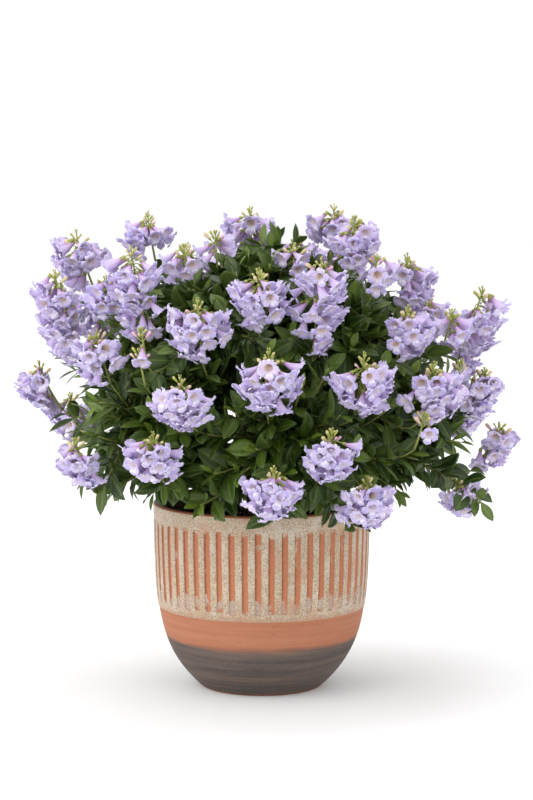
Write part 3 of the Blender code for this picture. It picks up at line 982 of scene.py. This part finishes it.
def makeTruss(mass, rng, petals, stalks):
    axis, radius, half = mass["axis"], mass["radius"], mass["half"]
    layers = [trussFlowers(mass, rng, layer) for layer in mass.get("layers", flower["layers"])]
    mouths, facing, hubs, level = (np.concatenate(x) for x in zip(*layers))
    count = len(mouths)
    sizes = rng.uniform(0.86, 1.10, count) * np.where(level > 0.6, 0.9, 1.0)
    feet = mouths - facing * (flower["tubeLength"] * sizes)[:, None]
    down = np.array([0, 0, -1]) + rng.normal(0, 0.3, facing.shape)
    tone = np.clip(rng.normal(0.5, 0.28, count), 0, 1)
    spun = standing(feet, facing, down, sizes)
    scatterKinds(flowerKinds, spun, rng, petals, tone=tone)
    stalks.append(copies(calyx, spun, age=np.full(count, 0.75), bud=np.zeros(count), tone=tone))
    for foot, way, hub in zip(feet, facing, hubs):
        points = curvePoints(hub, hub + (foot - hub) * 0.4 + axis * 0.002, foot - way * 0.003, foot, 4)
        stalks.append(tubePart(points, (0.0005, 0.00045, 0.0004, 0.0005), 5, age=0.72))
    low = mass["centre"] - axis * (half + radius)
    upright = uprightOf(mass)
    tip = mass["centre"] + axis * half + upright * radius * 0.78
    points = curvePoints(low, low + axis * radius * 0.5, tip - upright * radius * 0.5, tip, 8)
    stalks.append(tubePart(points, np.linspace(0.0011, 0.0005, 8), 6, age=((0, 1), (0.55, 0.85))))
    budSpike(mass, tip, rng, stalks)
    return low


def budSpike(mass, tip, rng, stalks):
    # pairs of buds up the tip, long and tinted below, small and green at the top
    axis = uprightOf(mass)
    helper = unit(np.cross(axis, (0.3, 0.9, 0.2)))
    other = np.cross(axis, helper)
    rows = 5
    share = np.repeat(np.arange(rows) / (rows - 1), 2)
    turn = np.repeat(np.arange(rows) * math.pi / 2, 2) + np.tile([0, math.pi], rows) + rng.uniform(0, 6)
    side = helper * np.cos(turn)[:, None] + other * np.sin(turn)[:, None]
    lean = (1.15 - 0.85 * share) * rng.uniform(0.8, 1.2, len(share))
    ways = unit(axis + side * lean[:, None])
    joints = tip - axis * ((1 - share) * mass["radius"] * 0.62)[:, None]
    stem = (0.0045 - 0.0038 * share) * rng.uniform(0.7, 1.3, len(share))
    feet = joints + ways * stem[:, None]
    length = (0.0078 - 0.0050 * share) * rng.uniform(0.7, 1.2, len(share))
    spun = standing(feet, ways, rng.normal(0, 1, ways.shape), length)
    tone = np.clip(0.6 - share * 1.3 + rng.normal(0, 0.25, len(share)), 0, 1)
    ones = np.ones(len(share))
    scatterKinds(budKinds, spun, rng, stalks, age=ones * 0.8, bud=ones, tone=tone)
    for joint, foot in zip(joints, feet):
        points = curvePoints(joint, joint + (foot - joint) * 0.4, foot, foot + (foot - joint) * 0.1, 4)
        stalks.append(tubePart(points, (0.0004, 0.0004, 0.0004, 0.0004), 4, age=0.85))


# Leaves

leaf = {
    "length": 0.030,
    "widths": (0.32, 0.38, 0.43, 0.47, 0.52),
    "slimWidths": (0.20, 0.23, 0.26),
    "halves": (0.10, 0.50, 0.86, 1.0, 0.90, 0.60, 0.03),
    "cells": 4,
    "skin": 0.006,
    "pairGap": 0.0088,
    "twigRadius": 0.0011,
    "lowest": 0.152,
    "trussShare": 0.74,
    "pastRim": 0.004,
    "overRim": 0.003,
    "seed": 33,
}


def leafPart(seed, width):
    # a leaf along +Z, one unit long, its upper face towards +Y
    rng = np.random.default_rng(seed)
    rows, cells = len(leaf["halves"]) - 1, leaf["cells"]
    s = np.linspace(0, 1, rows + 1)
    half = width / 2 * np.array(leaf["halves"])
    w = np.linspace(-1, 1, cells + 1)
    arch = rng.uniform(0.05, 0.30)
    fold = rng.uniform(0.12, 0.42)
    twist = rng.uniform(-0.35, 0.35)
    wave = rng.uniform(-0.015, 0.015, 2)
    verts = []
    for i, t in enumerate(s):
        x = half[i] * w
        y = np.abs(w) * half[i] * fold - arch * t**2 + wave[0] * np.sin(t * 9) * w
        y = y + wave[1] * np.sin(t * 7 + 1) * np.abs(w)
        turn = twist * t
        sideways = x * math.cos(turn) - (y + arch * t**2) * math.sin(turn)
        upwards = y * math.cos(turn) + x * math.sin(turn)
        verts.append(np.stack([sideways, upwards, np.full(cells + 1, t - arch * 0.25 * t**3)], 1))
    verts = np.concatenate(verts)
    index = np.arange(len(verts)).reshape(rows + 1, cells + 1)[:, ::-1]
    quads, corners = gridQuads(index)
    numbers = {"along": np.repeat(s, cells + 1), "across": np.tile(w, rows + 1)}
    part = newPart(verts, quads, corners, numbers)
    if vertexNormals(verts, quads)[:, 1].mean() < 0:
        part["quads"] = part["quads"][:, ::-1]
        part["corners"] = part["corners"][:, ::-1]
    return thicken(part, leaf["skin"], 0.6)


def leafFinish():
    f = Finish("leaf_green", roughness=0.38, Specular_IOR_Level=0.4)
    along = f.attribute("along")
    across = f.attribute("across")
    inside = f.attribute("inside")
    tone = f.attribute("tone")
    young = f.attribute("young")
    fine = f.cloud(350, 3, 0.55)
    side = across.math("ABSOLUTE")
    green = f.mix(tone, srgb(28, 48, 11), srgb(54, 76, 20))
    green = f.mix(young, green, srgb(114, 138, 42))
    green = f.mix(fine.between(0.35, 0.7) * 0.3, green, srgb(34, 56, 14))
    veins = ((along * 13 - side * 3.2) * 6.2832).math("SINE").between(0.8, 1.0) * (1 - side)
    green = f.mix(veins * 0.2, green, srgb(62, 84, 30))
    rib = 1 - side.between(0.05, 0.16)
    green = f.mix(rib * 0.6, green, srgb(104, 122, 50))
    green = f.mix(side.between(0.86, 1.0) * 0.3, green, srgb(70, 92, 32))
    under = f.mix(tone, srgb(70, 92, 38), srgb(96, 116, 52))
    under = f.mix(rib * 0.6, under, srgb(120, 134, 70))
    return f.wear(Base_Color=f.mix(inside, green, under))


leafKinds = [leafPart(leaf["seed"] + i, width) for i, width in enumerate(leaf["widths"])]
slimKinds = [leafPart(leaf["seed"] + 20 + i, width) for i, width in enumerate(leaf["slimWidths"])]


class Sprig:
    # gathers the leaves and stalks of one shoot
    def __init__(self):
        self.leaves = []
        self.stalks = []
        self.petals = {}


def leafAllowed(foot, tip, lowest):
    # no leaf in the pot, too low down or deep inside a truss
    rim, top = potHigh.x + leaf["pastRim"], potHigh.z + leaf["overRim"]
    middle = (foot + tip) / 2
    for point in (middle, tip):
        if np.hypot(point[0], point[1]) < rim and point[2] < top:
            return False
        if point[2] < lowest:
            return False
        for truss in trusses:
            off = point - truss["centre"]
            slide = np.clip(off @ truss["axis"], -truss["half"], truss["half"])
            away = np.linalg.norm(off - truss["axis"] * slide)
            if away < truss["radius"] * leaf["trussShare"]:
                return False
    return True


def dressTwig(points, sprig, rng, first, last, size=1.0, young=0.0, lowest=leaf["lowest"], kinds=None):
    # opposite pairs of leaves along a twig, each pair a quarter turn from the last
    kinds = kinds or leafKinds
    radius = leaf["twigRadius"]
    points = np.asarray(points)
    steps = np.linalg.norm(np.diff(points, axis=0), axis=1)
    length = steps.sum()
    run = np.concatenate([[0], np.cumsum(steps)]) / length
    pairs = max(int(length * (last - first) / (leaf["pairGap"] * size)), 1)
    turn = rng.uniform(0, math.pi)
    rows = []
    for i, share in enumerate(np.linspace(first, last, pairs + 1)):
        place = np.array([np.interp(share, run, points[:, k]) for k in range(3)])
        ahead = np.array([np.interp(min(share + 0.05, 1), run, points[:, k]) for k in range(3)])
        behind = np.array([np.interp(max(share - 0.05, 0), run, points[:, k]) for k in range(3)])
        way = unit(ahead - behind)
        helper = unit(np.cross(way, (0.1, 0.3, 0.95)))
        other = np.cross(way, helper)
        atTip = max(0, (share - 0.8) / 0.2)
        for half in (0, math.pi):
            angle = turn + i * math.pi / 2 + half + rng.normal(0, 0.22)
            side = helper * math.cos(angle) + other * math.sin(angle)
            open_ = rng.uniform(0.75, 1.25) * (1 - 0.45 * atTip)
            out = unit(way * (1.15 - 0.3 * open_) + side * open_ + np.array([0, 0, rng.uniform(-0.22, 0.18)]))
            long = leaf["length"] * size * rng.uniform(0.72, 1.12) * (1 - 0.42 * atTip)
            foot = place + side * radius * 0.5
            tip = foot + out * long
            if not leafAllowed(foot, tip, lowest):
                continue
            face = unit(way * 0.8 - side * 0.25 + np.array([0, 0, 0.75]) + rng.normal(0, 0.12, 3))
            fresh = np.clip(young + atTip * 0.5 + rng.normal(0, 0.12), 0, 1)
            rows.append((foot, out, face, long, rng.uniform(0, 1), fresh))
    if rows:
        foot, out, face, long, tone, fresh = (np.array(x) for x in zip(*rows))
        spun = standing(foot, out, -face, long)
        scatterKinds(kinds, spun, rng, sprig.leaves, tone=tone, young=fresh)
    age = ((0, 1), (0.25 + young * 0.3, 0.7 + young * 0.2))
    radii = np.linspace(radius * 1.3, radius * 0.55, len(points))
    sprig.stalks.append(tubePart(points, radii, 6, age=age))
    return len(rows)


def stalkFinish():
    f = Finish("green_stem_bark", roughness=0.6, Specular_IOR_Level=0.35)
    age = f.attribute("age")
    bud = f.attribute("bud")
    along = f.attribute("along")
    tone = f.attribute("tone")
    fine = f.cloud(500, 3, 0.6)
    bark = f.mix(fine.between(0.3, 0.7), srgb(84, 64, 42), srgb(120, 98, 66))
    olive = f.mix(fine, srgb(92, 98, 48), srgb(118, 122, 62))
    fresh = f.mix(fine, srgb(146, 158, 78), srgb(172, 176, 96))
    colour = f.mix(age.between(0.1, 0.45), bark, olive)
    colour = f.mix(age.between(0.5, 0.8), colour, fresh)
    cream = f.mix(tone.between(0.0, 0.5), srgb(164, 172, 78), srgb(216, 200, 152))
    cream = f.mix(tone.between(0.5, 1.0), cream, srgb(212, 160, 186))
    budColour = f.mix(along.between(0.05, 0.35), srgb(138, 152, 66), cream)
    budColour = f.mix(along.between(0.7, 0.95) * 0.6, budColour, srgb(222, 196, 170))
    colour = f.mix(bud, colour, budColour)
    return f.wear(Base_Color=colour, Normal=f.bump(fine, 0.3, 0.0004))


# The plant: stems from the crown, twigs from each stem, trusses on their twigs

plant = {
    "seed": 5,
    "stemFoot": 0.0024,
    "stemTip": 0.0013,
    "fillTwigs": 16,
    "domeTwigs": 170,
    "domeSize": (0.155, 0.155, 0.150),
    "domeShell": (0.88, 1.0),
    "domeFoot": -0.28,
    "trussGap": 0.004,
    "rimTwigs": 26,
    "rimReach": (0.09, 0.14),
    "rimHeight": (0.178, 0.202),
    "rimLowest": 0.160,
    "behindDrop": (0.012, 0.006),  # how much lower the rim twigs and their leaves hang at the back
    "overRimLowest": 0.132,
    "overRim": (
        (-0.112, -0.082, 0.176),
        (-0.086, -0.086, 0.172),
        (0.010, -0.100, 0.166),
        (0.046, -0.094, 0.168),
        (0.108, -0.078, 0.172),
        (0.118, 0.060, 0.170),
        (0.050, 0.108, 0.168),
        (-0.034, 0.104, 0.170),
        (-0.112, 0.050, 0.172),
    ),
    "slimTwigs": (
        (-0.136, -0.060, 0.184),
        (-0.132, -0.060, 0.226),
        (-0.140, -0.030, 0.246),
        (-0.120, -0.080, 0.240),
        (0.150, -0.060, 0.214),
        (0.146, 0.030, 0.262),
        (-0.130, 0.070, 0.196),
        (0.100, 0.120, 0.196),
    ),
    "slimSize": 0.95,
    "wispyX": -0.085,
    "wispyZ": 0.275,
    "sparseX": 0.100,
    "sparseZ": 0.225,
    "gaps": 0.70,
    "hang": 0.004,  # flowers hang a little below the middle of their truss
    "mostQuads": 90000,
}
# small sprays that stand between the trusses: place, radius, share of its flowers
sprays = (
    ((-0.061, -0.060, 0.352), 0.0160, 0.8),
    ((-0.037, -0.026, 0.362), 0.0150, 0.8),
    ((0.026, -0.052, 0.352), 0.0150, 0.7),
    ((-0.122, -0.062, 0.326), 0.0165, 0.9),
    ((-0.093, -0.132, 0.276), 0.0150, 0.2),
    ((-0.091, -0.130, 0.292), 0.0150, 0.2),
    ((0.090, -0.080, 0.345), 0.0160, 0.7),
    ((0.124, -0.130, 0.226), 0.0150, 0.12),
    ((0.150, -0.060, 0.300), 0.0160, 0.8),
    ((0.156, -0.075, 0.262), 0.0150, 0.6),
    ((-0.040, 0.120, 0.330), 0.0160, 0.7),
    ((-0.110, 0.090, 0.300), 0.0150, 0.7),
    ((0.030, 0.050, 0.354), 0.0160, 0.7),
    ((0.092, 0.110, 0.296), 0.0170, 0.8),
    ((0.060, 0.150, 0.262), 0.0170, 0.8),
    ((-0.040, 0.156, 0.246), 0.0160, 0.7),
    ((0.000, 0.110, 0.336), 0.0170, 0.8),
    ((-0.128, 0.120, 0.256), 0.0170, 0.7),
    ((0.130, 0.110, 0.248), 0.0170, 0.8),
    ((0.176, 0.030, 0.240), 0.0170, 0.8),
    ((-0.170, 0.060, 0.284), 0.0160, 0.7),
    ((-0.050, 0.130, 0.292), 0.0160, 0.7),
    ((0.120, 0.030, 0.336), 0.0160, 0.7),
)
sprigs = [Sprig() for _ in shoots]
rng = np.random.default_rng(plant["seed"])


def isWispy(target):
    # the low side of the bush where slim leaves stand apart
    return target[0] < plant["wispyX"] and target[2] < plant["wispyZ"]


def leftOut(target, rng):
    # the open parts of the bush lose most of their twigs
    sparse = isWispy(target) or (target[0] > plant["sparseX"] and target[2] < plant["sparseZ"])
    return sparse and rng.uniform() < plant["gaps"]


def stemLine(shoot):
    # from the crown's side up through the leafy shoot
    out = shoot["axis"]
    start = crownPlace + out * 0.0115
    end = shoot["centre"] + out * (shoot["half"] + shoot["radius"] * 0.45)
    side = unit(np.cross(out, (0, 0, 1.0001)) + 0.001)
    span = np.linalg.norm(end - start)
    first = start + out * span * 0.3 + side * 0.004
    second = end - out * span * 0.25 + np.array([0, 0, -0.006])
    return curvePoints(start, first, second, end, 22)


def lineAt(points, share):
    spot = share * (len(points) - 1)
    low = int(min(spot, len(points) - 2))
    return points[low] + (points[low + 1] - points[low]) * (spot - low)


def twigTo(stem, target, endWay, rng, share=None):
    # a twig that leaves its stem and arrives at the target along endWay
    share = rng.uniform(0.35, 0.95) if share is None else share
    start = lineAt(stem, share)
    along = unit(lineAt(stem, min(share + 0.08, 1)) - lineAt(stem, max(share - 0.08, 0)))
    span = np.linalg.norm(target - start)
    first = start + along * span * 0.28 + unit(target - start) * span * 0.12
    second = target - unit(endWay) * span * 0.30
    bow = rng.normal(0, 0.035, 3) * span
    return curvePoints(start, first + bow, second + bow * 0.5, target, 12)


stemLines = [stemLine(s) for s in shoots]
leafTotal = 0
for truss in trusses:
    truss["centre"] = truss["centre"] - np.array([0, 0, plant["hang"]])
for place, radius, share in sprays:
    place = np.array(place)
    axis = unit(unit(place - crownPlace) * 0.45 + np.array([0, 0, 0.55]))
    home = nearestShoot(place)
    trusses.append({
        "centre": place, "axis": axis, "radius": radius, "half": 0.002,
        "home": home, "share": share, "layers": (1,),
    })
for i, truss in enumerate(trusses):
    home = truss["home"]
    sprig = sprigs[home]
    sprig.petals[i] = []
    low = makeTruss(truss, rng, sprig.petals[i], sprig.stalks)
    arrive = truss["axis"] * 0.8 + unit(low - bushMiddle) * 0.4
    twig = twigTo(stemLines[home], low, arrive, rng, rng.uniform(0.4, 0.9))
    leafTotal += dressTwig(twig, sprig, rng, first=0.25, last=0.95)
print("trusses made")

for home, shoot in enumerate(shoots):
    for way in evenDirections(plant["fillTwigs"] * 2):
        if way @ shoot["axis"] < -0.25:
            continue
        target = shoot["centre"] + unit(way) * (shoot["radius"] * rng.uniform(0.75, 1.1))
        if leftOut(target, rng):
            continue
        lift = unit(way + np.array([0, 0, 0.5]))
        share = np.clip(0.62 + 0.35 * (way @ shoot["axis"]), 0.3, 0.98)
        twig = twigTo(stemLines[home], target, lift, rng, share)
        leafTotal += dressTwig(twig, sprigs[home], rng, first=0.15, last=1.0)
print("inner twigs dressed,", leafTotal, "leaves")

domeSize = np.array(plant["domeSize"])
used = 0
for way in evenDirections(plant["domeTwigs"] * 2):
    if way[2] < plant["domeFoot"]:
        continue
    wander = unit(way + rng.normal(0, 0.05, 3))
    target = bushMiddle + wander * domeSize * rng.uniform(*plant["domeShell"])
    clear = min(np.linalg.norm(target - t["centre"]) - t["radius"] for t in trusses)
    if clear < plant["trussGap"]:
        continue
    home = nearestShoot(target)
    lift = unit(wander + np.array([0, 0, 0.45]))
    if leftOut(target, rng):
        continue
    twig = twigTo(stemLines[home], target, lift, rng)
    kinds = slimKinds if isWispy(target) else leafKinds
    leafTotal += dressTwig(twig, sprigs[home], rng, 0.35, 1.0, young=0.12, kinds=kinds)
    used += 1
print("outer twigs dressed,", used, "twigs,", leafTotal, "leaves")

for i in range(plant["rimTwigs"]):
    turn = 2 * math.pi * (i + rng.uniform(-0.3, 0.3)) / plant["rimTwigs"]
    out = np.array([math.sin(turn), -math.cos(turn), 0])
    drop, leafDrop = plant["behindDrop"] if out[1] > 0 else (0, 0)
    target = out * rng.uniform(*plant["rimReach"])
    target = target + np.array([0, 0, rng.uniform(*plant["rimHeight"]) - drop])
    home = nearestShoot(target)
    twig = twigTo(stemLines[home], target, out + np.array([0, 0, 0.1]), rng, rng.uniform(0.2, 0.5))
    lowest = plant["rimLowest"] - leafDrop
    leafTotal += dressTwig(twig, sprigs[home], rng, 0.4, 1.0, young=0.05, lowest=lowest)
for target in plant["overRim"]:
    target = np.array(target)
    home = nearestShoot(target)
    out = unit(target * (1, 1, 0))
    twig = twigTo(stemLines[home], target, out + np.array([0, 0, -0.7]), rng, rng.uniform(0.2, 0.4))
    lowest = plant["overRimLowest"]
    leafTotal += dressTwig(twig, sprigs[home], rng, 0.5, 1.0, size=0.95, lowest=lowest)
for target in plant["slimTwigs"]:
    target = np.array(target)
    home = nearestShoot(target)
    for _ in range(2):
        end = target + rng.normal(0, 0.010, 3)
        out = unit((end - bushMiddle) * (1, 1, 0.4))
        twig = twigTo(stemLines[home], end, out, rng, rng.uniform(0.5, 0.9))
        size = plant["slimSize"] * rng.uniform(0.85, 1.15)
        leafTotal += dressTwig(twig, sprigs[home], rng, 0.45, 1.0, size, young=0.25, kinds=slimKinds)
print("rim twigs dressed,", leafTotal, "leaves in all")


def trussGroups(sprig):
    # the sprig's trusses in groups, each small enough for one piece
    groups, room = [], 0
    for number, parts in sprig.petals.items():
        size = sum(len(part["quads"]) for part in parts)
        if size > room:
            groups.append([])
            room = plant["mostQuads"]
        groups[-1].append(number)
        room -= size
    return groups


petalStuff = petalFinish()
leafStuff = leafFinish()
stalkStuff = stalkFinish()
for home, sprig in enumerate(sprigs):
    label = f"{home + 1:02d}"
    green = makePiece("leaves_of_shoot_" + label, joined(sprig.leaves), leafStuff)
    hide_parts(shootNodes[home])
    makePiece("twigs_of_shoot_" + label, joined(sprig.stalks), stalkStuff)
    for turn, group in enumerate(trussGroups(sprig)):
        parts = [part for number in group for part in sprig.petals[number]]
        name = "flowers_of_shoot_" + label + ("" if turn == 0 else "_more")
        bloom = makePiece(name, joined(parts), petalStuff)
        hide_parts(*[trussNodes[number] for number in group if number < len(trussNodes)])
print("leaves, twigs and flowers made for", len(sprigs), "shoots")

# Woody stems and the crown
woody = []
for line in stemLines:
    knots = 1 + 0.10 * np.sin(np.arange(len(line)) * 2.1)
    radii = np.linspace(plant["stemFoot"], plant["stemTip"], len(line)) * knots
    woody.append(tubePart(line, radii, 10, age=((0, 1), (0.0, 0.3))))
stems = makePiece("woody_stems", joined(woody), stalkStuff)
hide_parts(*stemNodes)


def crownPart():
    low, high = crownLow.z, crownHigh.z
    turn = np.linspace(0, 2 * math.pi, crown["sides"], endpoint=False)
    rows = []
    for h in np.linspace(low, high, crown["rings"]):
        up = (h - crownPlace[2]) / crown["radius"]
        r = crown["radius"] * math.sqrt(max(1 - up * up, 0.0004))
        if up <= -0.7:  # below this the ball gives way to the neck
            r = crown["neck"] + crown["neckSpread"] * (h - low) / (high - low)
        row = []
        for t in turn:
            rough = noise.fractal(Vector((math.cos(t) * 2, math.sin(t) * 2, h * 160)), 0.8, 2.0, 4)
            wide = r * (1 + crown["rough"] * rough)
            row.append((wide * math.cos(t), wide * math.sin(t), h))
        rows.append(row)
    verts = np.array(rows).reshape(-1, 3)
    verts[: crown["sides"], :2] *= 0.02  # the lowest ring closes the foot
    index = np.arange(len(verts)).reshape(len(rows), -1)
    index = wrapped(index)
    quads, corners = gridQuads(index)
    return newPart(verts, quads, corners)


f = Finish("wood_bark", roughness=0.85, Specular_IOR_Level=0.3)
ridges = f.cloud(130, 4, 0.65, stretch=(1, 1, 0.3))
barkColour = f.mix(ridges.between(0.3, 0.7), srgb(58, 42, 28), srgb(118, 94, 66))
barkStuff = f.wear(Base_Color=barkColour, Normal=f.bump(ridges, 0.7, 0.001))
crownPiece = makePiece("woody_crown", crownPart(), barkStuff)
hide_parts("root_crown")
print("stems and crown made")
